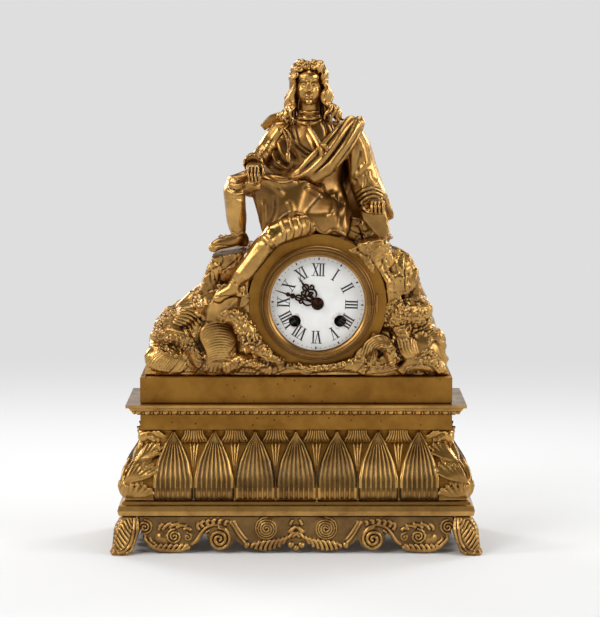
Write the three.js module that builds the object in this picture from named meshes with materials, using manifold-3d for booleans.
// Gilt-bronze table clock: stepped base on leaf feet, rock terrace with a drum, seated figure and a round
// striking movement.
// Millimetres, +Z up, front towards -Y, origin at the middle of the bottom.
import * as THREE from "three";
import { ConvexGeometry } from "three/addons/geometries/ConvexGeometry.js";
import { mergeVertices } from "three/addons/utils/BufferGeometryUtils.js";
import Module from "manifold-3d";

// Clearances
const seatGap = 0.3; // between pieces that rest on each other
const runGap = 0.3; // round a turning arbor
const meshGap = 0.24; // added to the centre distance of a wheel and pinion

// Base, from the floor up; a half depth is the half width less widthOverDepth at every level
const widthOverDepth = 103.2;
const baseHalfWidth = 147.3; // of the frieze and the plinth
const footHeight = 36;
const toeReach = 6.4; // toes beyond the moulding
const mouldingHeight = 16.5;
const mouldingReach = 20.9; // beyond the frieze
const bodyHeight = 62.3;
const friezeHeight = 15.2;
const corniceHeight = 11;
const corniceReach = 13.1; // beyond the frieze
const plinthHeight = 25.5;
const wallThickness = 5; // of the cast frames
const cornerRoom = 12; // kept for the corner leaves
const frontLeaves = 7;
const sideLeaves = 2;
const leafThickness = 2.4;
const reedHeight = 1.8; // of the reeds on a lotus leaf
const apronThickness = 5;
const apronInset = 5; // apron face behind the moulding's edge

// Drum and dial
const dialX = 20;
const drumFoot = 4.5; // terrace floor under the drum
const drumRadius = 65;
const drumLength = 92;
const boreRadius = 51.5;
const dialSight = 44.4; // radius of the enamel in view
const dialRim = 2.2; // enamel hidden behind the ring
const dialThickness = 2.4;
const dialDome = 2;
const ringFlange = 1.6;
const ringWidth = 9.4; // from the sight edge to the flange's rim
const bezelRadius = 54.6;
const bezelHeight = 9.6;
const bezelRoom = 3; // kept clear round the bezel
const hingeRoom = 18; // half height kept clear beside its hinge
const glassThickness = 1.8;
const glassDome = 5.5;
const bezelHingeLength = 14;
const hingePinRadius = 1;
const doorThickness = 1.6;
const rearFlange = 2.4;
const strapWidth = 12;
const strapThickness = 1.5;
const strapAngles = [75, 300]; // degrees, clear of the pendulum and the fly

// Movement, with y measured from the drum's middle
const plateRadius = 47.2;
const plateThickness = 2;
const frontPlateY = -34; // outer face
const plateSpacing = 36;
const pillarRadius = 2.6;
const windingRadius = 27; // winding arbors from the dial centre
const windingAngle = 38; // degrees under the horizontal
const windingHole = 5.8; // radius in the dial
const arborRadius = 1.3;
const windingSquare = 3.4;
const hourHandLength = 31;
const minuteHandLength = 42.3;
const pendulumLength = 140;
const bobRadius = 16;
const bellRadius = 31;
const bellX = 11;
const bellZ = -2;
const slotFront = 6; // slot in the drum and the terrace for the pendulum
const slotWidth = 16;

// Train: teeth and modules
const barrelTeeth = 36;
const barrelModule = 1.04;
const secondTeeth = 36;
const secondModule = 0.8;
const centreTeeth = 60;
const centreModule = 0.5;
const thirdTeeth = 60;
const thirdModule = 0.42;
const escapeTeeth = 48;
const escapeRadius = 10.4;
const pinLeaves = 36;
const pinModule = 0.56;
const lockTeeth = 36;
const lockModule = 0.48;
const pinionLeaves = 6;
const strikePins = 15;
const motionModule = 0.65;
const cannonTeeth = 8;
const minuteTeeth = 24;
const hourPinionTeeth = 8;
const hourTeeth = 32;

// Widths and levels
const mouldingHalfWidth = baseHalfWidth + mouldingReach;
const corniceHalfWidth = baseHalfWidth + corniceReach;
const footToe = mouldingHalfWidth + toeReach;
const frontPitch = (2 * (baseHalfWidth - cornerRoom)) / frontLeaves;
const sidePitch = (2 * (baseHalfWidth - widthOverDepth - cornerRoom)) / sideLeaves;
const dialRise = drumRadius + drumFoot;
const mouldingZ = footHeight;
const bodyZ = mouldingZ + mouldingHeight;
const friezeZ = bodyZ + bodyHeight;
const corniceZ = friezeZ + friezeHeight;
const plinthZ = corniceZ + corniceHeight;
const terraceZ = plinthZ + plinthHeight;
const dialZ = terraceZ + dialRise;
const seatZ = dialZ + drumRadius - 1;
const drumCentre = [dialX, dialRise];
const drumFront = -drumLength / 2;
const drumBack = drumLength / 2;

const wasm = await Module();
wasm.setup();

const gilt = new THREE.MeshStandardMaterial({ color: 0xc8983c, metalness: 1, roughness: 0.32 });
const mattGilt = new THREE.MeshStandardMaterial({ color: 0x8f6628, metalness: 1, roughness: 0.5 });
const brass = new THREE.MeshStandardMaterial({ color: 0xc9a95a, metalness: 1, roughness: 0.35 });
const steel = new THREE.MeshStandardMaterial({ color: 0x8a8d91, metalness: 1, roughness: 0.35 });
const blackSteel = new THREE.MeshStandardMaterial({ color: 0x2a1d14, metalness: 0.6, roughness: 0.45 });
const enamel = new THREE.MeshStandardMaterial({ color: 0xeceae2, metalness: 0, roughness: 0.2 });
const clearGlass = new THREE.MeshStandardMaterial({
  color: 0xf2f6f6, metalness: 0, roughness: 0.02, transparent: true, opacity: 0.12,
});

const clock = new THREE.Group();
clock.name = "table_clock";
const terrace = new THREE.Group(); // rocks and waves, from the terrace foot
terrace.position.z = terraceZ;
const figure = new THREE.Group(); // from the seat on top of the drum
figure.position.set(dialX, 0, seatZ);
const works = new THREE.Group(); // dial, bezels and movement, from the dial centre
works.position.set(dialX, 0, dialZ);
clock.add(terrace, figure, works);

// Solids

function manifold(positions, triangles) {
  const mesh = new wasm.Mesh({ numProp: 3, vertProperties: positions, triVerts: triangles });
  return new wasm.Manifold(mesh);
}

// A three.js geometry as a solid whose faces point out.
function solid(geometry) {
  const bare = new THREE.BufferGeometry();
  bare.setAttribute("position", geometry.getAttribute("position").clone());
  if (geometry.index) bare.setIndex(geometry.index.clone());
  const merged = mergeVertices(bare, 1e-4);
  const index = merged.index.array;
  const kept = [];
  for (let i = 0; i < index.length; i += 3) {
    const [a, b, c] = [index[i], index[i + 1], index[i + 2]];
    if (a !== b && b !== c && c !== a) kept.push(a, b, c);
  }
  const positions = new Float32Array(merged.getAttribute("position").array);
  const made = manifold(positions, new Uint32Array(kept));
  if (made.volume() > 0) return made;
  for (let i = 0; i < kept.length; i += 3) [kept[i], kept[i + 1]] = [kept[i + 1], kept[i]];
  return manifold(positions, new Uint32Array(kept));
}

function join(...solids) {
  return solids.reduce((whole, next) => whole.add(next));
}

function cut(whole, ...tools) {
  return tools.reduce((left, tool) => left.subtract(tool), whole);
}

// The main body of a solid that a cut has left with loose offcuts.
function mainBody(whole) {
  const bodies = whole.decompose();
  return bodies.reduce((best, body) => (body.volume() > best.volume() ? body : best));
}

function piece(group, name, material, whole) {
  const mesh = whole.getMesh();
  const geometry = new THREE.BufferGeometry();
  geometry.setAttribute("position", new THREE.BufferAttribute(new Float32Array(mesh.vertProperties), 3));
  geometry.setIndex(new THREE.BufferAttribute(new Uint32Array(mesh.triVerts), 1));
  geometry.computeVertexNormals();
  const made = new THREE.Mesh(geometry, material);
  made.name = name;
  group.add(made);
}

// A skin over rings of points: closed by end caps, or back on itself when looped.
function skin(rings, looped = false) {
  const count = rings[0].length;
  const points = rings.flat();
  const index = [];
  const last = looped ? rings.length : rings.length - 1;
  for (let r = 0; r < last; r++) {
    const next = (r + 1) % rings.length;
    for (let k = 0; k < count; k++) {
      const j = (k + 1) % count;
      const [a, b] = [r * count + k, r * count + j];
      const [c, d] = [next * count + j, next * count + k];
      index.push(a, b, c, a, c, d);
    }
  }
  if (!looped) {
    for (const [ring, way] of [[0, -1], [rings.length - 1, 1]]) {
      const middle = rings[ring].reduce((sum, p) => sum.add(p), new THREE.Vector3());
      points.push(middle.divideScalar(count));
      for (let k = 0; k < count; k++) {
        const edge = [ring * count + k, ring * count + ((k + 1) % count)];
        if (way < 0) edge.reverse();
        index.push(edge[0], edge[1], points.length - 1);
      }
    }
  }
  const geometry = new THREE.BufferGeometry().setFromPoints(points);
  geometry.setIndex(index);
  return solid(geometry);
}

// A limb or fold: ellipses along stations [x, y, z, half width, half depth], grown all round for a cutter.
function loft(stations, sides = 10, grow = 0) {
  const centres = stations.map(([x, y, z]) => new THREE.Vector3(x, y, z));
  const rings = stations.map(([, , , width, depth], i) => {
    const ahead = centres[Math.min(i + 1, centres.length - 1)];
    const behind = centres[Math.max(i - 1, 0)];
    const along = ahead.clone().sub(behind).normalize();
    const upright = Math.abs(along.y) > 0.9 ? new THREE.Vector3(0, 0, 1) : new THREE.Vector3(0, 1, 0);
    const deep = upright.addScaledVector(along, -upright.dot(along)).normalize();
    const across = deep.clone().cross(along);
    const end = i === 0 ? -grow : i === centres.length - 1 ? grow : 0;
    const middle = centres[i].clone().addScaledVector(along, end);
    return Array.from({ length: sides }, (_, k) => {
      const angle = (2 * Math.PI * k) / sides;
      const point = middle.clone().addScaledVector(across, (width + grow) * Math.cos(angle));
      return point.addScaledVector(deep, (depth + grow) * Math.sin(angle));
    });
  });
  return skin(rings);
}

// The smallest convex solid round points, each grown to a small cross for a cutter.
function hull(points, grow = 0) {
  const steps = grow ? [[grow, 0, 0], [-grow, 0, 0], [0, grow, 0], [0, -grow, 0], [0, 0, grow],
    [0, 0, -grow]]
    : [[0, 0, 0]];
  const all = points.flatMap(([x, y, z]) => steps.map(([a, b, c]) => new THREE.Vector3(x + a, y + b,
    z + c)));
  return solid(new ConvexGeometry(all));
}

function ball([x, y, z], [rx, ry, rz], detail = 1, grow = 0) {
  const geometry = new THREE.IcosahedronGeometry(1, detail);
  geometry.scale(rx + grow, ry + grow, rz + grow);
  return solid(geometry.translate(x, y, z));
}

function box([x0, y0, z0], [x1, y1, z1]) {
  const geometry = new THREE.BoxGeometry(x1 - x0, y1 - y0, z1 - z0);
  return solid(geometry.translate((x0 + x1) / 2, (y0 + y1) / 2, (z0 + z1) / 2));
}

// A flat shape in the x-z plane with its thickness along y.
function slab(shape, front, back, curveSegments = 6) {
  const geometry = new THREE.ExtrudeGeometry(shape, { depth: back - front, bevelEnabled: false,
    curveSegments });
  return solid(geometry.rotateX(Math.PI / 2).translate(0, back, 0));
}

// A turned solid about the y axis at [x, z]: profile of [radius, y], closed on the axis or on itself.
function turned(profile, segments, [x, z] = [0, 0]) {
  const points = profile.map(([r, y]) => new THREE.Vector2(r, y));
  if (profile[0][0] > 0) points.push(points[0].clone());
  return solid(new THREE.LatheGeometry(points, segments).translate(x, 0, z));
}

function rod(radius, front, back, at, segments = 8) {
  return turned([[0, front], [radius, front], [radius, back], [0, back]], segments, at);
}

// An upright pin or knuckle.
function post(radius, bottom, top, [x, y], segments = 10) {
  const geometry = new THREE.CylinderGeometry(radius, radius, top - bottom, segments);
  return solid(geometry.rotateX(Math.PI / 2).translate(x, y, (bottom + top) / 2));
}

function polygon(points) {
  return new THREE.Shape(points.map(([x, z]) => new THREE.Vector2(x, z)));
}

// Base

function halfDepth(halfWidth) {
  return halfWidth - widthOverDepth;
}

// A mitred frame: a closed profile of [half width, z] carried round the four corners.
function frame(profile) {
  const corners = [[-1, -1], [1, -1], [1, 1], [-1, 1]];
  const rings = corners.map(([sx, sy]) =>
    profile.map(([w, z]) => new THREE.Vector3(sx * w, sy * halfDepth(w), z)));
  return skin(rings, true);
}

// Flared side of the base body, above its own foot.
const flare = [[0.33, 0], [0.29, 0.1], [0.27, 0.21], [0.35, 0.34], [0.61, 0.5], [0.95, 0.66], [1.17, 0.79],
  [1.18, 0.88], [1.03, 1]];
const flareCurve = new THREE.SplineCurve(
  flare.map(([inward, up]) => new THREE.Vector2(mouldingHalfWidth - inward * mouldingReach,
    bodyHeight * up)));
const flarePoints = flareCurve.getPoints(14).map((p) => [p.x, p.y]);

function bodyHalfWidth(z) {
  const i = Math.max(1, flarePoints.findIndex(([, up]) => up >= z - 1e-6));
  const [[w0, z0], [w1, z1]] = [flarePoints[i - 1], flarePoints[i]];
  return w0 + ((w1 - w0) * (z - z0)) / (z1 - z0);
}

function bodyFrame(grow = 0) {
  const outer = flarePoints.map(([w, z]) => [w + grow, bodyZ + z]);
  const inner = mouldingHalfWidth - 2 * wallThickness;
  const neck = baseHalfWidth - wallThickness;
  return frame([
    ...outer,
    [baseHalfWidth + grow, friezeZ + 0.8],
    [baseHalfWidth + grow, corniceZ - seatGap],
    [neck, corniceZ - seatGap],
    [neck, friezeZ - 0.2 * bodyHeight],
    [inner, bodyZ + 0.35 * bodyHeight],
    [inner, bodyZ],
  ]);
}

// A pointed leaf lying up the flare: rows of [height share, half-width share]; place sets a point on it.
const lotusRows = [[0.02, 0.93], [0.3, 0.99], [0.55, 0.82], [0.8, 0.42], [0.99, 0.05]];
const acanthusRows = [[0.02, 0.85], [0.22, 1], [0.42, 0.8], [0.6, 0.85], [0.8, 0.7], [0.99, 0.75]];

const plainSection = [[-1, -1.4], [-0.85, leafThickness], [0, leafThickness * 0.6], [0.85, leafThickness],
  [1, -1.4]];
const reededHalf = [[1, -1.4], [0.95, leafThickness + reedHeight], [0.75, leafThickness],
  [0.62, leafThickness + reedHeight], [0.5, leafThickness], [0.37, leafThickness + reedHeight],
  [0.25, leafThickness], [0.12, leafThickness + reedHeight]];
const reededSection = [...reededHalf.map(([u, out]) => [-u, out]), [0, leafThickness * 0.6],
  ...reededHalf.toReversed()];

function leaf(rows, section, half, place) {
  const rings = rows.map(([up, wide]) =>
    section.map(([u, out]) => place(u * half * wide, out, up * bodyHeight)));
  return skin(rings);
}

function lotusLeaves() {
  const half = frontPitch * 0.485;
  const leaves = [];
  for (let i = 0; i < frontLeaves; i++) {
    const x = frontPitch * (i - (frontLeaves - 1) / 2);
    leaves.push(leaf(lotusRows, reededSection, half, (u, out, z) =>
      new THREE.Vector3(x + u, -halfDepth(bodyHalfWidth(z)) - out, bodyZ + z)));
  }
  for (const side of [-1, 1]) {
    for (let i = 0; i < sideLeaves; i++) {
      const y = sidePitch * (i - (sideLeaves - 1) / 2);
      leaves.push(leaf(lotusRows, reededSection, 0.485 * sidePitch, (u, out, z) =>
        new THREE.Vector3(side * (bodyHalfWidth(z) + out), y + u, bodyZ + z)));
    }
  }
  return leaves;
}

function cornerLeaf(side) {
  const half = 11;
  const reach = half - 2.5;
  const onFront = (u, out, z) => new THREE.Vector3(
    side * (bodyHalfWidth(z) - reach + u), -halfDepth(bodyHalfWidth(z)) - out, bodyZ + z);
  const onSide = (u, out, z) => new THREE.Vector3(
    side * (bodyHalfWidth(z) + out), -halfDepth(bodyHalfWidth(z)) + reach - u, bodyZ + z);
  const top = bodyHalfWidth(0.88 * bodyHeight) + 1;
  const scroll = ball([side * top, -halfDepth(top), bodyZ + 0.9 * bodyHeight], [5.5, 5.5, 6.5]);
  const whole = join(leaf(acanthusRows, plainSection, half, onFront),
    leaf(acanthusRows, plainSection, half, onSide), scroll);
  return mainBody(cut(whole, bodyFrame(seatGap)));
}

// Leaf foot: squares [z share, outer half width, size] stacked up the corner.
const footRows = [[0, footToe - 1.6, 13], [0.05, footToe, 18.5], [0.2, footToe - 2.6, 18],
  [0.4, footToe - 3.3, 20], [0.67, footToe - 4, 22.5], [0.92, mouldingHalfWidth - 3, 16],
  [1, mouldingHalfWidth - 3, 16]];

function foot(side, end) {
  const rings = footRows.map(([up, out, size]) => {
    const z = up * (footHeight - seatGap);
    const [x0, y0] = [out - size, halfDepth(out) - size];
    const corners = [[x0, y0], [out, y0], [out, halfDepth(out)], [x0, halfDepth(out)]];
    return corners.map(([x, y]) => new THREE.Vector3(side * x, end * y, z));
  });
  return skin(rings);
}

const footSpan = 26.5; // of a foot's top along the base
const apronShare = (footToe - footSpan) / 148.1; // stretch of the apron's outline, drawn 148.1 to each side

function apronFront() {
  const halfSpan = footToe - footSpan;
  const edge = [
    [[-148, 26], [-145.5, 21]], [[-144, 10], [-134, 4.5]], [[-120, -1], [-105, 3.8]],
      [[-96, 7], [-85.5, 21]],
    [[-83, 2.5], [-71, 3]], [[-60, 3.5], [-58, 14]], [[-52, 4], [-33, 2.5]], [[-15, 1.5], [-10, 12.5]],
    [[-6, 4], [0, 4.5]],
  ].map((bend) => bend.map(([x, z]) => [x * apronShare, z]));
  const shape = new THREE.Shape();
  const top = footHeight - seatGap;
  shape.moveTo(-halfSpan, top);
  shape.lineTo(-halfSpan, 28);
  for (const [[cx, cz], [x, z]] of edge) shape.quadraticCurveTo(cx, cz, x, z);
  const back = [...edge].reverse();
  for (let i = 0; i < back.length; i++) {
    const [cx, cz] = back[i][0];
    const [x, z] = i + 1 < back.length ? back[i + 1][1] : [-halfSpan, 28];
    shape.quadraticCurveTo(-cx, cz, -x, z);
  }
  shape.lineTo(halfSpan, top);
  shape.closePath();
  const face = -halfDepth(mouldingHalfWidth - apronInset);
  const scrolls = [[-71.5, 14.4, 11.4], [71.5, 14.4, 11.4], [-28, 24.6, 10.8], [28, 24.6, 10.8]];
  const bosses = scrolls.map(([x, z, radius]) => turned([[0, face - 2.4], [radius * 0.5, face - 2.6],
    [radius, face - 0.8], [radius, face + 1], [0, face + 1]], 12, [x * apronShare, z]));
  return join(slab(shape, face, face + apronThickness, 3), ...bosses);
}

function apronSide(side) {
  const halfSpan = halfDepth(footToe) - footSpan;
  const top = footHeight - seatGap;
  const edge = [[[-halfSpan + 4, 12], [-27, 6]], [[-16, 1], [-10, 13]], [[-6, 3], [0, 3]]];
  const shape = new THREE.Shape();
  shape.moveTo(-halfSpan, top);
  shape.lineTo(-halfSpan, 24);
  for (const [[cx, cz], [x, z]] of edge) shape.quadraticCurveTo(cx, cz, x, z);
  const back = [...edge].reverse();
  for (let i = 0; i < back.length; i++) {
    const [cx, cz] = back[i][0];
    const [x, z] = i + 1 < back.length ? back[i + 1][1] : [-halfSpan, 24];
    shape.quadraticCurveTo(-cx, cz, -x, z);
  }
  shape.lineTo(halfSpan, top);
  shape.closePath();
  const face = mouldingHalfWidth - apronInset;
  return slab(shape, -face, -face + apronThickness, 3).rotate([0, 0, side * 90]);
}

function base() {
  for (const [name, side, end] of [["front_left", -1, -1], ["front_right", 1, -1], ["rear_left", -1, 1],
    ["rear_right", 1, 1]]) {
    piece(clock, `foot_${name}`, gilt, foot(side, end));
  }
  piece(clock, "apron_front", gilt, apronFront());
  piece(clock, "apron_left", gilt, apronSide(-1));
  piece(clock, "apron_right", gilt, apronSide(1));
  const m = mouldingHalfWidth;
  piece(clock, "base_moulding", gilt, frame([
    [m - 5, mouldingZ], [m - 1.2, mouldingZ + 0.8], [m, mouldingZ + 5.2], [m - 1.2, mouldingZ + 9.8],
    [m - 3.6, mouldingZ + 11], [m - 4.4, mouldingZ + 13.4], [m - 6.8, bodyZ - seatGap - 1],
    [m - 6.8, bodyZ - seatGap], [m - 2 * wallThickness, bodyZ - seatGap],
      [m - 2 * wallThickness - 6, mouldingZ],
  ]));
  piece(clock, "base_body", mattGilt, join(bodyFrame(), ...lotusLeaves()));
  piece(clock, "corner_leaf_left", gilt, cornerLeaf(-1));
  piece(clock, "corner_leaf_right", gilt, cornerLeaf(1));
  const [f, c] = [baseHalfWidth, corniceHalfWidth];
  piece(clock, "cornice", gilt, frame([
    [f + 0.6, corniceZ], [f + 2, corniceZ + 0.4], [f + 4, corniceZ + 1.8], [c - 4.6, corniceZ + 4.8],
    [c - 3.2, corniceZ + 7], [c - 2.6, corniceZ + 7.7], [c, corniceZ + 8], [c, plinthZ - seatGap],
    [f - wallThickness, plinthZ - seatGap], [f - wallThickness, corniceZ],
  ]));
  const p = baseHalfWidth;
  piece(clock, "plinth", mattGilt, frame([
    [p - 0.6, plinthZ], [p, plinthZ + 0.6], [p, terraceZ - seatGap - 0.8], [p - 0.8, terraceZ - seatGap],
    [p - wallThickness, terraceZ - seatGap], [p - wallThickness, plinthZ],
  ]));
}

// Figure, measured from the seat; grow makes the cutter that keeps its neighbours clear of it

const torsoStations = [[2, 2, 1, 30, 22], [1, 1, 14, 33, 25], [0, 2, 28, 30, 22], [-3, 2, 46, 27, 19],
  [-5, 2, 72, 33, 21], [-6, 1, 90, 37, 19], [-7, 1, 100, 31, 15], [-8, 0, 106, 14, 12],
  [-8, -2, 114, 8.5, 9]];
const skirtHulls = [
  // flat panel of the coat over the raised thigh
  [[-67, -43, 60], [-62, -24, 60], [-53, -50, 1], [-48, -38, 0], [-18, -50, 18], [-22, -18, 44],
    [-8, -38, 50], [-30, -30, 2], [-8, -20, 8], [10, -14, 40]],
  // coat lying over the lap and hanging by the hip
  [[-14, -46, 18], [16, -46, 20], [28, -42, -3], [8, -44, -2], [32, -20, 24], [30, -20, 0], [-10, -18, 34],
    [6, -20, 40], [-16, -30, 8]],
];

function torso(grow = 0) {
  return join(loft(torsoStations, 14, grow), ...skirtHulls.map((points) => hull(points, grow)));
}

const rightLegStations = [[-22, -12, 24, 13, 13], [-50, -32, 42, 12, 12], [-70, -45, 51, 11, 11],
  [-76, -50, 49, 10.5, 10.5], [-78.5, -51, 42, 10, 10.5], [-77.5, -48, 30, 9.2, 10], [-76, -45, 16, 8.4, 9],
  [-74.5, -44, 3, 6.2, 6.6], [-74, -44, -3, 6.2, 7]];
const leftLegStations = [[14, -18, 12, 13, 13], [-14, -40, 9, 12, 11], [-33, -54, 4, 11, 9.5],
  [-41, -58, 0, 10.5, 9.5], [-48, -58.5, -8, 9.8, 9.5], [-57, -58, -20, 9, 9.2], [-68, -58, -33, 7.6, 8],
  [-76, -58, -42, 6, 6.6], [-79, -58, -47, 6, 6.8]];

// A buckled shoe from heel to toe at the end of a leg.
function shoe(heel, instep, toe, grow) {
  const [hx, hy, hz] = heel;
  const [tx, ty, tz] = toe;
  return join(
    loft([[hx + 4, hy + 2, hz, 4, 4], [hx, hy, hz, 6, 5.5], instep, [(hx + 2 * tx) / 3 - 2,
      (hy + 2 * ty) / 3, tz + 3, 6, 5], [tx + 4, ty, tz, 5.5, 3.6], [tx, ty, tz - 1, 3, 2]], 8, grow),
    hull([[hx + 5, hy + 4, hz - 8], [hx - 3, hy + 4, hz - 8], [hx + 4, hy - 4, hz - 8],
      [hx - 3, hy - 4, hz - 8], [hx + 6, hy + 4, hz], [hx - 4, hy + 4, hz], [hx + 6, hy - 4, hz],
      [hx - 4, hy - 4, hz]], grow),
  );
}

function rightLeg(grow = 0) {
  return join(loft(rightLegStations, 8, grow),
    shoe([-70, -40, -3], [-77, -46, -4, 6.5, 6.5], [-102, -55, -11], grow));
}

function leftLeg(grow = 0) {
  return join(loft(leftLegStations, 8, grow),
    shoe([-73, -55, -49], [-80, -58, -49, 6.5, 6.5], [-97, -61, -58], grow));
}

// The arm whose hand rests on the raised knee.
const rightArmStations = [[-26, 2, 97, 9, 9], [-36, 1, 96, 10.5, 10.5], [-43, 0, 86, 10, 10.5],
  [-49, -5, 77, 9.4, 10], [-55, -13, 70, 8.8, 9.5], [-59, -24, 68, 9, 9], [-60, -34, 68, 9.5, 9.5],
  [-60.5, -40, 67, 10, 9]];
const rightHandStations = [[-60, -38, 67, 5, 5], [-60, -47, 64, 6, 4.5], [-60, -56, 61, 7, 4.6],
  [-58.5, -63, 55, 6.5, 3.6], [-57, -65, 48, 4, 2.6]];

function rightArm(grow = 0) {
  return join(loft(rightArmStations, 10, grow), loft(rightHandStations, 8, grow));
}

// The hanging arm with its wide cuff, its fist and the folded paper in it.
const leftArmStations = [[22, 2, 97, 9, 9], [32, 1, 95, 11.5, 12], [38, 0, 80, 13.5, 13],
  [42, 0, 62, 14.5, 14], [46, -2, 46, 15.5, 14], [51, -6, 34, 15.5, 13.5], [54, -8, 28, 14.5, 12]];
const leftHandStations = [[54, -8, 33, 5, 6], [55.5, -15, 28, 7.5, 6], [56.5, -20, 24, 8, 5.5],
  [56.5, -21, 19, 7, 4]];
const paperPoints = [[39, -15, 23], [64, -17, 22], [68, -20, 2], [60, -21, -6], [42, -17, 13],
  [40, -20, 23], [65, -22, 22], [69, -25, 1], [60, -26, -7], [43, -22, 12]];

function leftArm(grow = 0) {
  return join(loft(leftArmStations, 10, grow), loft(leftHandStations, 8, grow), hull(paperPoints, grow));
}

// Head with the long curled wig: a plain head, a cap of hair and hanging locks.
const wigLocks = [
  [[-18, -2, 150, 6, 6], [-26, -6, 140, 6.5, 6], [-26, -9, 126, 6.5, 6], [-31, -11, 114, 6, 6],
    [-31, -12, 104, 4, 4]],
  [[-20, 4, 150, 6, 7], [-28, 3, 136, 6.5, 7], [-31, 0, 120, 7, 7], [-37, -4, 108, 5, 6]],
  [[2, -2, 150, 6, 6], [10, -6, 140, 6.5, 6], [11, -9, 126, 6.5, 6], [15, -10, 114, 6.5, 6],
    [16, -12, 103, 4, 4]],
  [[4, 4, 150, 6, 7], [13, 3, 136, 6.5, 7], [17, 0, 122, 7, 7], [26, -3, 110, 7, 6], [30, -6, 102, 4, 4]],
  [[-8, 14, 152, 12, 7], [-8, 19, 136, 17, 7], [-8, 20, 118, 20, 7], [-8, 21, 102, 22, 6],
    [-8, 22, 92, 18, 4]],
];

function head(grow = 0) {
  const face = loft([[-8, -6, 114, 5, 6], [-8, -9, 118, 8.5, 9], [-8, -9, 126, 11.5, 12],
    [-8, -8, 137, 13, 14], [-8, -5, 148, 12.5, 14], [-8, -2, 154, 9, 10]], 12, grow);
  const nose = hull([[-8, -22, 134], [-10.6, -19, 129.6], [-5.4, -19, 129.6], [-8, -23.6, 130.6],
    [-8, -19, 140], [-8, -14, 132]], grow);
  const cap = loft([[-8, 4, 122, 14, 13], [-8, 3, 138, 17, 17.5], [-8, 1, 150, 17, 19],
    [-8, 0, 157, 13, 15], [-8, 1, 161.5, 6, 7]], 10, grow);
  const locks = wigLocks.map((stations) => loft(stations, 6, grow));
  const neck = loft([[-8, -2, 104, 8, 8], [-8, -3, 120, 8, 8.5]], 10, grow);
  return join(face, nose, neck, cap, ...locks);
}

// Cloak: a swathe over the chest, and the fall behind the hanging arm and down the back.
const cloakHulls = [
  [[-40, 12, 100], [-8, 18, 106], [34, 8, 104], [-44, 20, 60], [44, 16, 60], [-40, 26, 10], [60, 26, 8],
    [-8, 24, 102], [-40, 30, 4], [62, 32, 4], [0, 30, 60]],
  [[32, 4, 106], [44, 0, 100], [32, 16, 103], [77, 10, 12], [70, 20, 6], [48, 14, 8], [44, 6, 60],
    [60, 6, 46]],
];
const swatheStations = [[40, 8, 101, 8, 12], [36, -8, 103, 12, 8], [23, -19, 87, 14, 6.5],
  [8, -24, 70, 15, 6], [-8, -25, 56, 13, 6], [-24, -20, 50, 9, 6], [-36, -8, 51, 7, 7], [-40, 8, 53, 6, 9]];
const shoulderKnot = [[-42, -4, 104], [-50, 2, 99], [-43, 6, 109], [-40, 2, 98], [-53, 4, 96],
  [-38, 8, 104]];

function cloak(grow = 0) {
  return join(...cloakHulls.map((points) => hull(points, grow)), loft(swatheStations, 10, grow),
    hull(shoulderKnot, grow));
}

function figureParts() {
  const whole = torso();
  const leg1 = cut(rightLeg(), torso(seatGap));
  const leg2 = cut(leftLeg(), torso(seatGap), rightLeg(seatGap));
  const arm1 = cut(rightArm(), torso(seatGap), rightLeg(seatGap));
  const arm2 = cut(leftArm(), torso(seatGap));
  const top = cut(head(), torso(seatGap), rightArm(seatGap), leftArm(seatGap));
  const fall = cut(cloak(), torso(seatGap), rightArm(seatGap), leftArm(seatGap), head(seatGap),
    rightLeg(seatGap));
  piece(figure, "figure_torso", gilt, whole);
  piece(figure, "figure_right_leg", gilt, mainBody(leg1));
  piece(figure, "figure_left_leg", gilt, mainBody(leg2));
  piece(figure, "figure_right_arm", gilt, mainBody(arm1));
  piece(figure, "figure_left_arm", gilt, mainBody(arm2));
  piece(figure, "figure_head", gilt, mainBody(top));
  piece(figure, "figure_cloak", gilt, mainBody(fall));
}

// The whole figure as one cutter, moved into the terrace's frame.
function figureCutter() {
  const parts = [torso, rightLeg, leftLeg, leftArm, cloak].map((part) => part(seatGap));
  return join(...parts).translate([dialX, 0, seatZ - terraceZ]);
}

// Terrace: rocks and waves round the drum, measured from the terrace foot

// Stretches a point drawn for a plinth of 147.3 by 44.1 half sizes and a dial 69.5 up to the present sizes.
function onTerrace([x, y, z, ...size]) {
  const beyondDrum = Math.max(0, Math.abs(x) - 70) / 77.3;
  const stretched = x + Math.sign(x) * beyondDrum * (baseHalfWidth - 147.3);
  return [stretched, (y * halfDepth(baseHalfWidth)) / 44.1, (z * dialRise) / 69.5, ...size];
}

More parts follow.
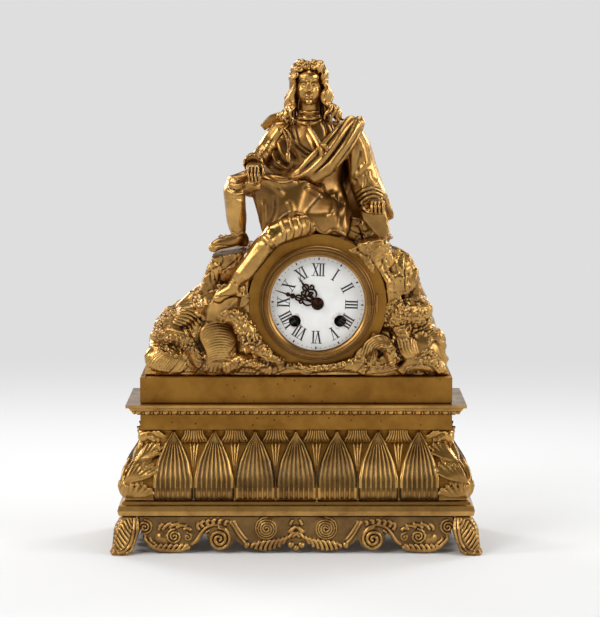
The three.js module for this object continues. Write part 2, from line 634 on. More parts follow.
const rockHulls = [
  // low bank on the left
  [[-144, -40, 0], [-46, -41, 0], [-144, 40, 0], [-46, 40, 0], [-134, -32, 46], [-134, 28, 44],
    [-126, -30, 60], [-124, 20, 58], [-100, -34, 71], [-100, 26, 70], [-46, -42, 60], [-46, 38, 60]],
  // tall rock up to the ledge under the raised foot
  [[-102, -40, 56], [-46, -42, 56], [-104, 30, 50], [-40, 40, 50], [-89, -37, 84], [-88, 20, 84],
    [-79, -40, 112], [-76, 10, 114], [-50, -38, 122], [-40, 28, 124]],
  // floor under the drum
  [[-60, -42, 0], [100, -42, 0], [-60, 42, 0], [100, 42, 0], [-50, -44, 26], [90, -44, 26], [-50, 42, 30],
    [90, 42, 30]],
  // ledge blocks under the two feet
  [[-80, -58, 113], [-50, -56, 118], [-46, -34, 122], [-77, -28, 117], [-80, -50, 92], [-54, -48, 88],
    [-60, -34, 84]],
  [[-86, -64, 70], [-54, -60, 78], [-50, -46, 84], [-92, -44, 78], [-84, -52, 52], [-58, -48, 50],
    [-96, -48, 60]],
  // right bank
  [[70, -41, 0], [145, -40, 0], [70, 40, 0], [145, 40, 0], [136, -30, 36], [136, 26, 36], [126, -32, 62],
    [126, 24, 62], [108, -30, 112], [104, 20, 110], [76, -26, 120], [76, 26, 124]],
  // rock under the hand, over the drum's shoulder
  [[46, -49, 118], [60, -50, 126], [84, -46, 130], [92, -42, 112], [70, -48, 98], [86, -43, 92],
    [48, 30, 120], [60, 28, 129], [84, 22, 130], [94, 20, 108]],
  // rock behind the hand, up to the cloak
  [[44, -14, 118], [52, -14, 149], [70, -14, 145], [92, -16, 128], [44, 24, 118], [52, 22, 149],
    [70, 20, 145], [94, 18, 126]],
  // rock against the two sides of the drum
  [[78, -46, 98], [81, -45, 44], [98, -43, 96], [100, -43, 46], [78, -20, 98], [81, -20, 44], [98, -20, 96],
    [100, -20, 46]],
  [[-43, -46, 94], [-43, -47, 60], [-62, -47, 94], [-62, -48, 60], [-43, -24, 94], [-43, -24, 60]],
  // boulder beside the drum
  [[90, -40, 96], [88, -36, 114], [97, -34, 121], [108, -36, 114], [115, -36, 100], [114, -36, 84],
    [106, -40, 76], [92, -42, 80], [100, -44, 100], [100, -20, 118], [112, -18, 90], [96, -18, 74]],
];
const waveLofts = [
  [[-86, -42, 56, 6, 6], [-72, -49, 62, 8, 8], [-56, -53, 58, 10, 9], [-46, -55, 45, 10, 9],
    [-39, -54, 32, 9, 8], [-27, -51, 20, 7, 7], [-12, -48, 12, 5, 6]],
  [[-130, -32, 45, 5, 5], [-120, -37, 50, 11, 10], [-105, -39, 57, 11, 10], [-91, -37, 65, 7, 7]],
  [[-136, -36, 36, 5, 5], [-121, -43, 41, 8, 8], [-106, -46, 38, 8, 7], [-95, -47, 24, 7, 7],
    [-90, -46, 10, 6, 6]],
  [[-68, -44, 6, 7, 6], [-51, -48, 17, 8, 7], [-38, -49, 14, 7, 7], [-24, -46, 5, 5, 5]],
  [[57, -45, 6, 6, 6], [61, -49, 24, 8, 7], [73, -51, 35, 9, 8], [87, -51, 30, 8, 8], [92, -48, 13, 7, 6]],
  [[-16, -47, 6, 5, 5], [14, -48.5, 10, 7, 6], [50, -49, 12, 6, 6], [64, -47, 6, 5, 5]],
  [[86, -43, 50, 7, 7], [99, -45, 59, 9, 8], [113, -43, 58, 9, 8], [125, -38, 62, 5, 6]],
  [[96, -43, 46, 8, 7], [103, -45, 30, 9, 8], [112, -45, 12, 8, 7]],
  [[97, -44, 5, 5, 5], [110, -46, 14, 8, 7], [126, -44, 12, 8, 7], [139, -40, 5, 5, 5]],
  [[128, -34, 42, 6, 6], [135, -33, 30, 7, 8], [141, -34, 12, 5, 6]],
  [[-136, -24, 24, 5, 6], [-135, 0, 32, 6, 7], [-136, 24, 22, 5, 6]],
  [[137, -20, 22, 4, 6], [136, 4, 32, 5, 7], [137, 26, 20, 4, 6]],
  [[-90, 40, 12, 8, 5], [-60, 42, 26, 9, 6], [-32, 42, 14, 7, 5]],
  [[76, 42, 12, 8, 5], [102, 42, 24, 9, 6], [128, 40, 12, 7, 5]],
];
const waveSwells = [
  [[-80, -36, 28], [32, 15, 32]],
  [[-120, -34, 14], [24, 12, 18]],
  [[78, -38, 14], [22, 12, 22]],
  [[118, -34, 20], [22, 12, 24]],
];

// Hollows of the thin casting
const leftHollow = [[-136, -34, -1], [-56, -34, -1], [-136, 34, -1], [-56, 34, -1], [-78, -28, 86],
  [-58, -28, 92], [-76, 12, 86], [-56, 18, 92], [-122, -26, 44], [-122, 20, 44]];
const rightHollow = [[94, -34, -1], [137, -34, -1], [94, 34, -1], [137, 34, -1], [94, -22, 92],
  [106, -22, 92], [94, 16, 92], [104, 14, 92], [124, -24, 44], [124, 18, 44]];

function rock() {
  const mass = join(...rockHulls.map((points) => hull(points.map(onTerrace))),
    ...waveLofts.map((stations) => loft(stations.map(onTerrace), 6)),
    ...waveSwells.map(([at, size]) => ball(onTerrace(at), size)));
  const below = box([-2 * baseHalfWidth, -2 * drumLength, -dialRise], [2 * baseHalfWidth, 2 * drumLength,
    0]);
  const face = join(rod(bezelRadius + bezelRoom, 2 * drumFront, drumFront, drumCentre, 32),
    box([dialX, 2 * drumFront, dialRise - hingeRoom], [dialX + drumRadius + 4, drumFront,
      dialRise + hingeRoom]));
  const cradle = rod(drumRadius + seatGap, drumFront - seatGap, 2 * drumBack, drumCentre, 40);
  const hollows = [leftHollow, rightHollow].map((points) => hull(points.map(onTerrace)));
  return mainBody(cut(mass, below, face, cradle, ...hollows, pendulumSlot(), figureCutter()));
}

function pendulumSlot() {
  const reach = bobRadius + 8;
  return box([dialX - reach, slotFront, -dialRise], [dialX + reach, slotFront + slotWidth, dialRise]);
}

// The drum that holds the movement, open below for the pendulum rod.
function drum() {
  const ring = cut(rod(drumRadius, drumFront, drumBack, drumCentre, 40),
    rod(boreRadius, drumFront - 1, drumBack + 1, drumCentre, 32));
  return mainBody(cut(ring, pendulumSlot(), figureCutter()));
}

// Dial, bezels and movement, measured from the dial centre

const flangeFront = drumFront - seatGap - ringFlange;
const dialFront = flangeFront + ringFlange + seatGap; // enamel rim behind the ring's lip
const bezelBack = flangeFront - seatGap;
const bezelFront = bezelBack - bezelHeight;
const frontPlateBack = frontPlateY + plateThickness;
const backPlateFront = frontPlateBack + plateSpacing;
const backPlateBack = backPlateFront + plateThickness;
const strapRadius = boreRadius - 1.8;
const ringRim = dialSight + ringWidth;
const hingeX = bezelRadius + 0.6;
const knuckleRadius = hingePinRadius + 1;
const hingeY = drumFront - knuckleRadius - 0.7;
const knuckleReach = bezelHingeLength * 0.19; // half length of the middle knuckle

function bearing(angle, length) {
  const turn = (angle * Math.PI) / 180;
  return [length * Math.cos(turn), length * Math.sin(turn)];
}

function plus([x, z], [u, w]) {
  return [x + u, z + w];
}

const goingAt = bearing(-windingAngle, windingRadius);
const strikeAt = bearing(180 + windingAngle, windingRadius);

function dial() {
  const rim = dialSight + dialRim;
  const plate = turned([[0, dialFront - dialDome], [dialSight * 0.4, dialFront - dialDome * 0.85],
    [dialSight * 0.75, dialFront - dialDome * 0.45], [dialSight - 1, dialFront], [rim, dialFront],
    [rim, dialFront + dialThickness], [dialSight * 0.75, dialFront + dialThickness - dialDome * 0.4],
    [0, dialFront + dialThickness - dialDome]], 24);
  const feet = [60, 180, 300].map((angle) =>
    rod(1.3, dialFront + 1, frontPlateY - seatGap, bearing(angle, rim - 4), 6));
  const holes = [goingAt, strikeAt].map((at) => rod(windingHole, -80, 0, at, 12));
  return cut(join(plate, ...feet), rod(4.6, -80, 0, [0, 0], 12), ...holes);
}

// The ring that carries the dial edge, with the two straps that clamp the movement into the drum.
function dialRing() {
  const rim = [[dialSight, flangeFront], [ringRim, flangeFront], [ringRim, flangeFront + ringFlange],
    [dialSight, flangeFront + ringFlange]];
  const length = drumBack - seatGap;
  const bars = strapAngles.map((angle) => {
    const bar = box([strapRadius - strapThickness, flangeFront + 0.4, -strapWidth / 2],
      [strapRadius, length, strapWidth / 2]);
    return bar.rotate([0, -angle, 0]);
  });
  const knuckles = [-1, 1].map((side) => {
    const [bottom, top] = [knuckleReach, bezelHingeLength / 2].map((z) => side * z).sort((a, b) => a - b);
    const barrel = post(knuckleRadius, bottom, top, [hingeX, hingeY]);
    return join(barrel, box([ringRim - 1.5, flangeFront + 0.2, bottom],
      [hingeX, flangeFront + ringFlange, top]));
  });
  const middle = post(knuckleRadius + runGap, -knuckleReach, knuckleReach, [hingeX, hingeY]);
  return cut(join(turned(rim, 36), ...bars, ...knuckles), middle, hingeBore());
}

function hingeBore() {
  return post(hingePinRadius + runGap, -bezelHingeLength, bezelHingeLength, [hingeX, hingeY], 8);
}

function frontBezel() {
  const seat = dialSight + 3.6; // radius of the glass rebate
  const ring = turned([[seat, bezelBack], [bezelRadius, bezelBack], [bezelRadius, bezelBack - 3],
    [bezelRadius - 1.2, bezelBack - 4.6], [bezelRadius - 3.4, bezelBack - 4.8],
      [bezelRadius - 4.4, bezelFront + 0.3],
    [bezelRadius - 6.6, bezelFront], [dialSight + 0.6, bezelFront + 2.2],
      [dialSight + 0.6, bezelFront + 3.2],
    [seat, bezelFront + 3.2]], 36);
  const reach = knuckleReach - seatGap;
  const knuckle = post(knuckleRadius, -reach, reach, [hingeX, hingeY]);
  const web = box([bezelRadius - 3, bezelBack - 2, -reach], [hingeX, bezelBack, reach]);
  const end = bezelHingeLength / 2 + 1.8;
  const relief = cut(post(knuckleRadius + runGap, -end, end, [hingeX, hingeY]),
    box([0, -90, -reach], [90, 0, reach]));
  return cut(join(cut(ring, relief), web, knuckle), hingeBore());
}

function bezelGlass() {
  const rim = dialSight + 3.6 - seatGap;
  const face = bezelFront + 3.2 + seatGap;
  const lip = dialSight + 0.6 - seatGap;
  const back = face + glassThickness;
  return turned([[0, face - glassDome], [lip * 0.5, face - glassDome * 0.76],
    [lip * 0.85, face - glassDome * 0.28], [lip, face], [rim, face], [rim, back], [lip * 0.97, back],
    [lip * 0.83, back - glassDome * 0.28], [lip * 0.5, back - glassDome * 0.76], [0, back - glassDome]],
    24);
}

const rearY = drumBack + seatGap;
const rearRim = ringRim + 2;
const doorRadius = dialSight + 2;
const doorY = rearY + rearFlange - doorThickness;
const doorHingeX = -(doorRadius + 3.4);
const doorHingeY = rearY + rearFlange + knuckleRadius + seatGap;

function doorBore() {
  return post(hingePinRadius + runGap, -bezelHingeLength, bezelHingeLength, [doorHingeX, doorHingeY], 8);
}

function rearBezel() {
  const sight = doorRadius - 2.4;
  const seat = doorRadius + 0.5;
  const ring = turned([[sight, rearY], [rearRim, rearY], [rearRim, rearY + rearFlange - 0.8],
    [rearRim - 0.8, rearY + rearFlange], [seat, rearY + rearFlange], [seat, doorY - seatGap],
      [sight, doorY - seatGap]], 32);
  const knuckles = [-1, 1].map((side) => {
    const [bottom, top] = [knuckleReach, bezelHingeLength / 2].map((z) => side * z).sort((a, b) => a - b);
    const web = box([doorHingeX - 1.5, rearY + rearFlange - 0.5, bottom],
      [doorHingeX + 1.5, doorHingeY, top]);
    return join(post(knuckleRadius, bottom, top, [doorHingeX, doorHingeY]), web);
  });
  return cut(join(ring, ...knuckles), doorBore());
}

function rearDoor() {
  const disc = rod(doorRadius, doorY, doorY + doorThickness, [0, 0], 32);
  const reach = knuckleReach - seatGap;
  const knuckle = post(knuckleRadius, -reach, reach, [doorHingeX, doorHingeY]);
  const outer = doorY + doorThickness;
  const web = join(box([doorHingeX, outer + seatGap, -reach], [-doorRadius + 4, outer + 1.6, reach]),
    box([-doorRadius + 1, outer - 0.5, -reach], [-doorRadius + 4, outer + 1, reach]));
  const knob = turned([[0, doorY + 0.5], [2, doorY + 0.5], [2, doorY + 3], [4, doorY + 5], [3, doorY + 7],
    [0, doorY + 7.5]], 10, [doorRadius - 8, 0]);
  return cut(join(disc, web, knuckle, knob), doorBore());
}

function hingePin(x, y) {
  const half = bezelHingeLength / 2;
  return join(post(hingePinRadius, -half - 0.6, half + 0.6, [x, y], 8),
    post(knuckleRadius, half + seatGap, half + 1.2, [x, y], 8));
}

// Wheels: a saw-edged outline with short tips and deep roots, so that meshing pairs run clear at all phases.
function toothed(teeth, module, phase) {
  const pitch = (teeth * module) / 2;
  const points = [];
  for (let i = 0; i < teeth; i++) {
    const tip = (2 * Math.PI * i) / teeth + phase;
    const root = tip + Math.PI / teeth;
    points.push([(pitch + 0.75 * module) * Math.cos(tip), (pitch + 0.75 * module) * Math.sin(tip)]);
    points.push([(pitch - 1.3 * module) * Math.cos(root), (pitch - 1.3 * module) * Math.sin(root)]);
  }
  return polygon(points);
}

function gear(teeth, module, front, back, [x, z], phase = 0) {
  return slab(toothed(teeth, module, phase), front, back).translate([x, 0, z]);
}

function centreDistance(teeth, leaves, module) {
  return ((teeth + leaves) * module) / 2 + meshGap;
}

// The phase of a wheel at b so that its tooth faces a space of the wheel at a.
function facing([ax, az], teethA, phaseA, [bx, bz], teethB) {
  const line = Math.atan2(bz - az, bx - ax);
  const step = (2 * Math.PI) / teethA;
  const offset = (((line - phaseA) / step) % 1 + 1) % 1; // share of A's pitch at the line of centres
  return line + Math.PI + (2 * Math.PI / teethB) * (offset - 0.5);
}

// The meeting point of circles about a and b, on the left of the line from a to b.
function meeting([ax, az], [bx, bz], fromA, fromB) {
  const [dx, dz] = [bx - ax, bz - az];
  const span = Math.hypot(dx, dz);
  const along = (fromA ** 2 - fromB ** 2 + span ** 2) / (2 * span);
  const aside = Math.sqrt(fromA ** 2 - along ** 2);
  const [ux, uz] = [dx / span, dz / span];
  return [ax + ux * along - uz * aside, az + uz * along + ux * aside];
}

const centreAt = [0, 0];
const escapeAt = [0, 24];
const anchorAt = [0, 38];
const secondAt = meeting(centreAt, goingAt, centreDistance(secondTeeth, pinionLeaves, secondModule),
  centreDistance(barrelTeeth, pinionLeaves, barrelModule));
const thirdAt = meeting(centreAt, escapeAt, centreDistance(centreTeeth, pinionLeaves, centreModule),
  centreDistance(thirdTeeth, pinionLeaves, thirdModule));
const strikeSecondAt = plus(strikeAt, bearing(98, centreDistance(barrelTeeth, pinionLeaves, barrelModule)));
const pinWheelAt = plus(strikeSecondAt, bearing(108, centreDistance(secondTeeth, pinionLeaves,
  secondModule)));
const lockWheelAt = plus(pinWheelAt, bearing(40, centreDistance(pinLeaves, pinionLeaves, pinModule)));
const flyAt = plus(lockWheelAt, bearing(75, centreDistance(lockTeeth, pinionLeaves, lockModule)));
const hammerAt = [-41.5, 9];
const minuteWheelAt = [0, -centreDistance(minuteTeeth, cannonTeeth, motionModule)];
const hourModule = (2 * (-minuteWheelAt[1] - meshGap)) / (hourTeeth + hourPinionTeeth);
const clickAt = [goingAt, strikeAt].map((at, i) => plus(at, bearing(i ? 205 : -25, 13)));

// Places along y
const flangeY = [-9, -6.6];
const secondPinionY = [-9.8, -5.8];
const secondY = [-3.6, -2.2];
const centrePinionY = [-4.4, -1.2];
const centreY = [-0.2, 1.2];
const thirdPinionY = [-0.9, 2];
const thirdY = [-14, -12.8];
const escapePinionY = [-15, -11.8];
const escapeY = [-19.4, -18.4];
const pinPinionY = [-4.4, -1.2];
const pinY = [-18, -16.6];
const lockPinionY = [-19, -15.6];
const lockY = [-24, -22.8];
const flyPinionY = [-25, -21.8];
const ratchetY = [frontPlateY - 3.2, frontPlateY - 1.2];
const cannonY = [-40.4, -38.2];
const minuteY = [-40, -38.6];
const hourPinionY = [-43.4, -40];
const hourY = [-43, -41.6];
const handThickness = 0.8;
const hourHandY = dialFront - dialDome - 1 - handThickness;
const minuteHandY = hourHandY - 0.9 - handThickness;
const pivotRadius = 0.9;

const pivoted = [centreAt, secondAt, thirdAt, escapeAt, strikeSecondAt, pinWheelAt, lockWheelAt, flyAt];

function plate(front, back, holes) {
  const disc = rod(plateRadius, front, back, [0, 0], 30);
  return cut(disc, ...holes.map(([at, radius]) => rod(radius + runGap + 0.15, front - 1, back + 1, at, 6)));
}

function frontPlate() {
  const holes = [...pivoted.slice(1).map((at) => [at, pivotRadius]), [centreAt, arborRadius],
    [anchorAt, pivotRadius], [hammerAt, pivotRadius], [goingAt, arborRadius + 0.7],
    [strikeAt, arborRadius + 0.7], [minuteWheelAt, pivotRadius], ...clickAt.map((at) => [at, pivotRadius])];
  const pillars = [12, 58, 185, 270].map((angle) =>
    rod(pillarRadius, frontPlateBack - 0.5, backPlateFront - seatGap, bearing(angle, plateRadius - 4), 8));
  return join(plate(frontPlateY, frontPlateBack, holes), ...pillars);
}

function backPlate() {
  const holes = [...pivoted.map((at) => [at, pivotRadius]), [anchorAt, 4], [hammerAt, pivotRadius],
    [goingAt, pivotRadius], [strikeAt, pivotRadius]];
  return plate(backPlateFront, backPlateBack, holes);
}

// A turned arbor with a thin pivot in each plate.
function arbor(at, front = frontPlateY + 0.3, back = backPlateBack - 0.3) {
  return turned([[0, front], [pivotRadius, front], [pivotRadius, frontPlateBack + 0.5],
    [arborRadius, frontPlateBack + 0.5], [arborRadius, backPlateFront - 0.5],
    [pivotRadius, backPlateFront - 0.5], [pivotRadius, back], [0, back]], 6, at);
}

function barrel(at, phase) {
  const wheel = (barrelTeeth * barrelModule) / 2;
  const wall = wheel - 1.6 * barrelModule;
  const can = turned([[arborRadius + 0.7 + runGap, -28.6], [wall, -28.6], [wall, flangeY[1] - 0.2],
    [wall - 1.4, flangeY[1] - 0.2], [wall - 1.4, -27.4], [arborRadius + 0.7 + runGap, -27.4]], 18, at);
  const hole = rod(arborRadius + 0.7 + runGap, -40, 0, at, 12);
  return join(can, cut(gear(barrelTeeth, barrelModule, flangeY[0], flangeY[1], at, phase), hole));
}

function windingArbor(at) {
  const shaft = turned([[0, backPlateBack - 0.4], [pivotRadius, backPlateBack - 0.4],
    [pivotRadius, backPlateFront - 0.6], [arborRadius + 0.7, backPlateFront - 0.6],
    [arborRadius + 0.7, ratchetY[0]], [0, ratchetY[0]]], 10, at);
  const s = windingSquare / 2;
  const square = box([at[0] - s, dialFront + dialThickness + 0.8, at[1] - s],
    [at[0] + s, ratchetY[0] + 0.5, at[1] + s]);
  const core = turned([[0, -26.6], [5, -26.6], [5, -10], [0, -10]], 10, at);
  const teeth = [];
  for (let i = 0; i < 18; i++) {
    const a = (2 * Math.PI * i) / 18;
    teeth.push([8 * Math.cos(a), 8 * Math.sin(a)], [6.8 * Math.cos(a + 0.06), 6.8 * Math.sin(a + 0.06)]);
  }
  const ratchet = slab(polygon(teeth), ratchetY[0], ratchetY[1]).translate([at[0], 0, at[1]]);
  return join(shaft, square, core, ratchet);
}

// A click on the front plate, its nose just clear of the ratchet.
function click(at, ratchet) {
  const [dx, dz] = [ratchet[0] - at[0], ratchet[1] - at[1]];
  const length = Math.hypot(dx, dz);
  const [ux, uz] = [dx / length, dz / length];
  const nose = [at[0] + ux * (length - 8.4) + uz * 1.4, at[1] + uz * (length - 8.4) - ux * 1.4];
  const arm = polygon([[at[0] + uz * 2, at[1] - ux * 2], nose, [at[0] + ux * 2 - uz * 2,
    at[1] + uz * 2 + ux * 2], [at[0] - ux * 3 - uz * 1.5, at[1] - uz * 3 + ux * 1.5]]);
  return join(slab(arm, ratchetY[0], ratchetY[1]), rod(pivotRadius, ratchetY[0] - 0.8, frontPlateBack - 0.4,
    at, 8));
}

function train() {
  const phase = {};
  phase.going = 0.03;
  phase.secondPinion = facing(goingAt, barrelTeeth, phase.going, secondAt, pinionLeaves);
  phase.second = 0.05;
  phase.centrePinion = facing(secondAt, secondTeeth, phase.second, centreAt, pinionLeaves);
  phase.centre = 0.02;
  phase.thirdPinion = facing(centreAt, centreTeeth, phase.centre, thirdAt, pinionLeaves);
  phase.third = 0.02;
  phase.escapePinion = facing(thirdAt, thirdTeeth, phase.third, escapeAt, pinionLeaves);
  phase.strike = 0.04;
  phase.strikePinion = facing(strikeAt, barrelTeeth, phase.strike, strikeSecondAt, pinionLeaves);
  phase.strikeSecond = 0.01;
  phase.pinPinion = facing(strikeSecondAt, secondTeeth, phase.strikeSecond, pinWheelAt, pinionLeaves);
  phase.pin = 0.06;
  phase.lockPinion = facing(pinWheelAt, pinLeaves, phase.pin, lockWheelAt, pinionLeaves);
  phase.lock = 0.02;
  phase.flyPinion = facing(lockWheelAt, lockTeeth, phase.lock, flyAt, pinionLeaves);
  phase.cannon = 0.1;
  phase.minute = facing(centreAt, cannonTeeth, phase.cannon, minuteWheelAt, minuteTeeth);
  phase.hourPinion = 0.1;
  phase.hour = facing(minuteWheelAt, hourPinionTeeth, phase.hourPinion, centreAt, hourTeeth);
  return phase;
}

function movement() {
  const phase = train();
  piece(works, "front_plate", brass, frontPlate());
  piece(works, "back_plate", brass, backPlate());
  piece(works, "going_barrel", brass, barrel(goingAt, phase.going));
  piece(works, "strike_barrel", brass, barrel(strikeAt, phase.strike));
  piece(works, "going_winding_arbor", steel, windingArbor(goingAt));
  piece(works, "strike_winding_arbor", steel, windingArbor(strikeAt));
  piece(works, "going_click", steel, click(clickAt[0], goingAt));
  piece(works, "strike_click", steel, click(clickAt[1], strikeAt));
  piece(works, "intermediate_wheel", brass, join(arbor(secondAt),
    gear(pinionLeaves, barrelModule, ...secondPinionY, secondAt, phase.secondPinion),
    gear(secondTeeth, secondModule, ...secondY, secondAt, phase.second)));
  piece(works, "centre_wheel", brass, join(
    turned([[0, minuteHandY + 2], [1, minuteHandY + 2], [1, frontPlateY - 1],
      [arborRadius, frontPlateY - 1], [arborRadius, backPlateFront - 0.5],
      [pivotRadius, backPlateFront - 0.5], [pivotRadius, backPlateBack - 0.3], [0, backPlateBack - 0.3]],
      8),
    gear(pinionLeaves, secondModule, ...centrePinionY, centreAt, phase.centrePinion),
    gear(centreTeeth, centreModule, ...centreY, centreAt, phase.centre)));
  piece(works, "third_wheel", brass, join(arbor(thirdAt),
    gear(pinionLeaves, centreModule, ...thirdPinionY, thirdAt, phase.thirdPinion),
    gear(thirdTeeth, thirdModule, ...thirdY, thirdAt, phase.third)));
  piece(works, "escape_wheel", brass, join(arbor(escapeAt),
    gear(pinionLeaves, thirdModule, ...escapePinionY, escapeAt, phase.escapePinion), escapeTeethDisc()));
  piece(works, "anchor", steel, anchor());
  piece(works, "pendulum", brass, pendulum());
  piece(works, "suspension_cock", brass, suspensionCock());
  piece(works, "strike_intermediate_wheel", brass,
    join(arbor(strikeSecondAt, undefined, backPlateBack + 4.6),
    gear(pinionLeaves, barrelModule, ...secondPinionY, strikeSecondAt, phase.strikePinion),
    gear(secondTeeth, secondModule, ...secondY, strikeSecondAt, phase.strikeSecond)));
  piece(works, "count_wheel", brass, countWheel());
  piece(works, "pin_wheel", brass, join(arbor(pinWheelAt),
    gear(pinionLeaves, secondModule, ...pinPinionY, pinWheelAt, phase.pinPinion),
    gear(pinLeaves, pinModule, ...pinY, pinWheelAt, phase.pin), ...liftingPins()));
  piece(works, "locking_wheel", brass, join(arbor(lockWheelAt),
    gear(pinionLeaves, pinModule, ...lockPinionY, lockWheelAt, phase.lockPinion),
    gear(lockTeeth, lockModule, ...lockY, lockWheelAt, phase.lock)));
  const [fx, fz] = flyAt;
  piece(works, "fly", brass, join(arbor(flyAt), gear(pinionLeaves, lockModule, ...flyPinionY, flyAt,
    phase.flyPinion),
    box([fx - 5.5, -19, fz - 0.6], [fx + 5.5, -6, fz + 0.6])));
  piece(works, "hammer", steel, hammer());
  piece(works, "bell", brass, bell());
  piece(works, "bell_stand", steel, bellStand());
  motionWork(phase);
}

function escapeTeethDisc() {
  const points = [];
  for (let i = 0; i < escapeTeeth; i++) {
    const a = (2 * Math.PI * i) / escapeTeeth;
    points.push([escapeRadius * Math.cos(a), escapeRadius * Math.sin(a)]);
    points.push([(escapeRadius - 1.5) * Math.cos(a + 0.05), (escapeRadius - 1.5) * Math.sin(a + 0.05)]);
  }
  return slab(polygon(points), ...escapeY).translate([escapeAt[0], 0, escapeAt[1]]);
}

// Anchor, arbor and crutch; the pallets stand just clear of the escape teeth.
function anchor() {
  const [ax, az] = anchorAt;
  const reach = escapeRadius + 0.9;
  const [ex, ez] = escapeAt;
  const left = [ex + reach * Math.cos(2.55), ez + reach * Math.sin(2.55)];
  const right = [ex + reach * Math.cos(0.59), ez + reach * Math.sin(0.59)];
  const arms = slab(polygon([[ax, az + 2.4], [left[0] - 1.6, left[1] + 1], left,
    [left[0] + 1.2, left[1] + 2.6], [ax, az - 2], [right[0] - 1.2, right[1] + 2.6], right,
    [right[0] + 1.6, right[1] + 1]]), -19.8, -18);
  const staff = turned([[0, frontPlateY + 0.3], [pivotRadius, frontPlateY + 0.3],
    [pivotRadius, frontPlateBack + 0.5], [arborRadius, frontPlateBack + 0.5],
    [arborRadius, backPlateBack + 3], [0, backPlateBack + 3]], 8, anchorAt);
  const stem = box([ax - 0.8, backPlateBack + 1.6, az - 30], [ax + 0.8, backPlateBack + 2.8, az]);
  const fork = cut(box([ax - 2.6, backPlateBack + 1.6, az - 32], [ax + 2.6, pendulumY + 2, az - 29]),
    box([ax - 1.5, pendulumY - 2, az - 33], [ax + 1.5, pendulumY + 3, az - 28]));
  return join(arms, staff, stem, fork);
}

const pendulumY = backPlateBack + 7.5;

function pendulum() {
  const [ax, az] = anchorAt;
  const foot = az - pendulumLength;
  const spring = box([ax - 1.2, pendulumY - 0.4, az - 9], [ax + 1.2, pendulumY + 0.4, az + 0.6]);
  const stem = post(1, foot, az - 8, [ax, pendulumY], 8);
  const bob = turned([[0, pendulumY - 4], [bobRadius * 0.7, pendulumY - 2.6], [bobRadius, pendulumY],
    [bobRadius * 0.7, pendulumY + 2.6], [0, pendulumY + 4]], 24, [ax, foot]);
  return join(spring, stem, bob);
}

// A bracket on the back plate whose slit holds the top of the suspension spring.
function suspensionCock() {
  const [ax, az] = anchorAt;
  const front = backPlateBack + seatGap;
  const arm = box([ax - 6, front + 3.4, az + 0.9], [ax + 6, pendulumY + 3, az + 5.4]);
  const legs = [-1, 1].map((side) => box([ax + side * 6 - 1.6, front, az + 0.9],
    [ax + side * 6 + 1.6, front + 4, az + 5.4]));
  return join(arm, ...legs);
}

function countWheel() {
  const [x, z] = strikeSecondAt;
  const y = backPlateBack + 2.2;
  const points = [];
  let count = 0;
  for (let hour = 1; hour <= 12; hour++) {
    const [start, stop] = [count / 90, (count + hour) / 90];
    count += hour + 0.5;
    const steps = Math.max(1, Math.round((stop - start) * 24));
    for (let k = 0; k <= steps; k++) {
      const a = 2 * Math.PI * 0.93 * (start + ((stop - start) * k) / steps);
      points.push([13.6 * Math.cos(a), 13.6 * Math.sin(a)]);
    }
    const slot = 2 * Math.PI * 0.93 * stop;
    points.push([12 * Math.cos(slot + 0.012), 12 * Math.sin(slot + 0.012)]);
    points.push([12 * Math.cos(slot + 0.024), 12 * Math.sin(slot + 0.024)]);
  }
  const disc = slab(polygon(points), y, y + 1.4).translate([x, 0, z]);
  return cut(disc, rod(pivotRadius + runGap, y - 1, y + 3, strikeSecondAt, 8));
}

function liftingPins() {
  return Array.from({ length: strikePins }, (_, i) =>
    rod(0.55, pinY[0] - 3, pinY[0] + 0.4, plus(pinWheelAt, bearing((360 * i) / strikePins, 7.6)), 3));
}

// Hammer: arbor between the plates, tail towards the pin wheel, arm and head behind the back plate.
function hammer() {
  const [hx, hz] = hammerAt;
  const headAt = plus([bellX, bellZ], bearing(200, bellRadius + 5.2));
  const [px, pz] = pinWheelAt;
  const away = Math.hypot(px - hx, pz - hz);
  const tip = [hx + ((px - hx) * (away - 9.4)) / away, hz + ((pz - hz) * (away - 9.4)) / away];
  const tail = slab(polygon([[hx - 1.6, hz], [hx + 1.6, hz - 0.5], tip]), -21, -19.6);
  const back = backPlateBack + 16;
  const staff = turned([[0, frontPlateY + 0.3], [pivotRadius, frontPlateY + 0.3],
    [pivotRadius, frontPlateBack + 0.5], [arborRadius, frontPlateBack + 0.5],
    [arborRadius, backPlateFront - 0.5], [pivotRadius, backPlateFront - 0.5], [pivotRadius, back],
    [0, back]], 8, hammerAt);
  const arm = slab(polygon([[hx - 1.4, hz + 1.6], [hx + 1.6, hz + 1], [headAt[0] + 1, headAt[1] + 1],
    [headAt[0] - 1, headAt[1] - 1]]),
    back - 2, back - 0.4);
  const head = rod(3.6, back - 3, back + 6, headAt, 10);
  return join(staff, tail, arm, head);
}

const bellY = backPlateBack + 13;

function bell() {
  const depth = 22;
  const outer = [[bellRadius, 0], [bellRadius - 0.4, 3], [bellRadius * 0.9, 10], [bellRadius * 0.72, 16],
    [bellRadius * 0.4, 20.4], [3, depth]];
  const wall = 1.8;
  const inner = [[3, depth - wall], [bellRadius * 0.4, 20.4 - wall], [bellRadius * 0.72 - wall, 15.2],
    [bellRadius * 0.9 - wall, 9.4], [bellRadius - 0.4 - wall, 0]];
  return turned([...outer, ...inner].map(([r, y]) => [r, bellY + y]), 16, [bellX, bellZ]);
}

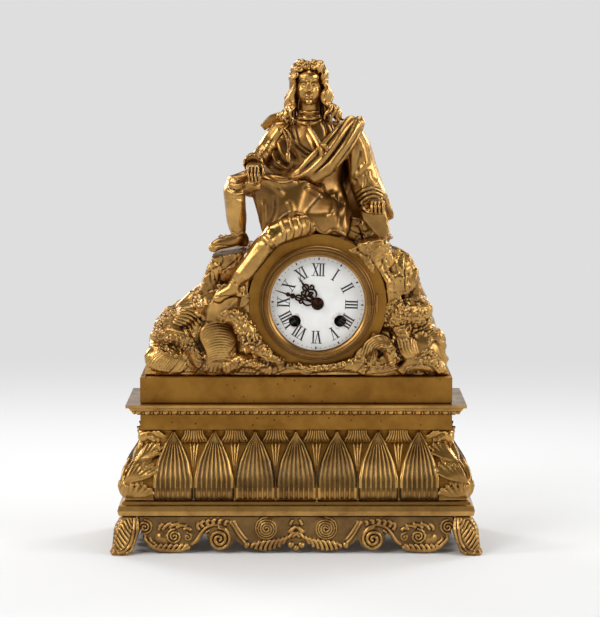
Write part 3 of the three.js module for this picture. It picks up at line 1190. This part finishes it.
function bellStand() {
  const foot = backPlateBack + seatGap;
  const crown = bellY + 22;
  return turned([[0, foot], [4, foot], [4, foot + 2], [2.4, foot + 3], [2.4, crown - 1.8 - seatGap - 1.2],
    [4, crown - 1.8 - seatGap - 1.2], [4, crown - 1.8 - seatGap], [2.4, crown - 1.8 - seatGap],
      [2.4, crown + 0.5],
    [4, crown + seatGap], [4, crown + 2], [0, crown + 2.4]], 10, [bellX, bellZ]);
}

// A pierced hand pointing to twelve, turned to its hour about the dial centre.
function hand(length, width, boss, bore, front, clockwise) {
  const outline = polygon([[-boss * 0.5, boss * 0.6], [-width * 0.28, length * 0.34],
    [-width * 0.5, length * 0.48], [-width * 0.16, length * 0.66], [-width * 0.26, length * 0.74],
    [0, length], [width * 0.26, length * 0.74], [width * 0.16, length * 0.66], [width * 0.5, length * 0.48],
    [width * 0.28, length * 0.34], [boss * 0.5, boss * 0.6]]);
  const eye = polygon([[0, length * 0.38], [width * 0.26, length * 0.48], [0, length * 0.58],
    [-width * 0.26, length * 0.48]]);
  outline.holes.push(eye);
  const blade = slab(outline, front, front + handThickness);
  const ring = rod(boss, front, front + handThickness, [0, 0], 18);
  const whole = cut(join(blade, ring), rod(bore + runGap, front - 1, front + 2, [0, 0], 12));
  return whole.rotate([0, clockwise, 0]);
}

function motionWork(phase) {
  const pipe = 2.1;
  const hourPipe = 3.4;
  const cannonTop = minuteHandY + handThickness - 2.4;
  const bore = rod(1 + runGap, -90, 0, [0, 0], 8);
  const throat = rod(arborRadius + runGap, cannonY[0], 0, [0, 0], 8);
  piece(works, "cannon_pinion", steel, cut(join(rod(pipe, minuteHandY + handThickness + seatGap,
    frontPlateY - 0.5, [0, 0], 12),
    rod(1.7, cannonTop, frontPlateY - 0.5, [0, 0], 12),
    gear(cannonTeeth, motionModule, ...cannonY, centreAt, phase.cannon)), bore,
      cut(throat, rod(4, -90, frontPlateY - 1, [0, 0], 8))));
  piece(works, "hour_wheel", brass, cut(join(rod(hourPipe, hourHandY + handThickness + seatGap, hourY[1],
    [0, 0], 14),
    rod(hourPipe - 0.5, hourHandY - 0.4, hourY[1], [0, 0], 14),
    gear(hourTeeth, hourModule, ...hourY, centreAt, phase.hour)), rod(pipe + runGap, -90, 0, [0, 0], 12)));
  piece(works, "minute_wheel", brass, join(rod(pivotRadius, hourPinionY[0] - 0.6, frontPlateBack - 0.4,
    minuteWheelAt, 8),
    gear(minuteTeeth, motionModule, ...minuteY, minuteWheelAt, phase.minute),
    gear(hourPinionTeeth, hourModule, ...hourPinionY, minuteWheelAt, phase.hourPinion)));
  piece(works, "hour_hand", blackSteel, hand(hourHandLength, 11, 6, hourPipe - 0.5, hourHandY, 324));
  piece(works, "minute_hand", blackSteel, hand(minuteHandLength, 8, 4.6, 1.7, minuteHandY, 288));
  piece(works, "hand_collet", brass, cut(turned([[0, cannonTop - 1.6], [1.6, cannonTop - 1.2],
    [3.4, minuteHandY - 0.6 - seatGap], [3.4, minuteHandY - seatGap], [0, minuteHandY - seatGap]], 14),
    rod(1.7 + runGap, cannonTop - 0.3, 0, [0, 0], 12)));
}

function front() {
  piece(works, "dial", enamel, dial());
  piece(works, "dial_ring", brass, dialRing());
  piece(works, "front_bezel", gilt, frontBezel());
  piece(works, "bezel_glass", clearGlass, bezelGlass());
  piece(works, "bezel_hinge_pin", steel, hingePin(hingeX, hingeY));
  piece(works, "rear_bezel", brass, rearBezel());
  piece(works, "rear_door", brass, rearDoor());
  piece(works, "door_hinge_pin", steel, hingePin(doorHingeX, doorHingeY));
}

base();
piece(terrace, "rock_terrace", gilt, rock());
piece(terrace, "drum", gilt, drum());
figureParts();
front();
movement();

export default clock;
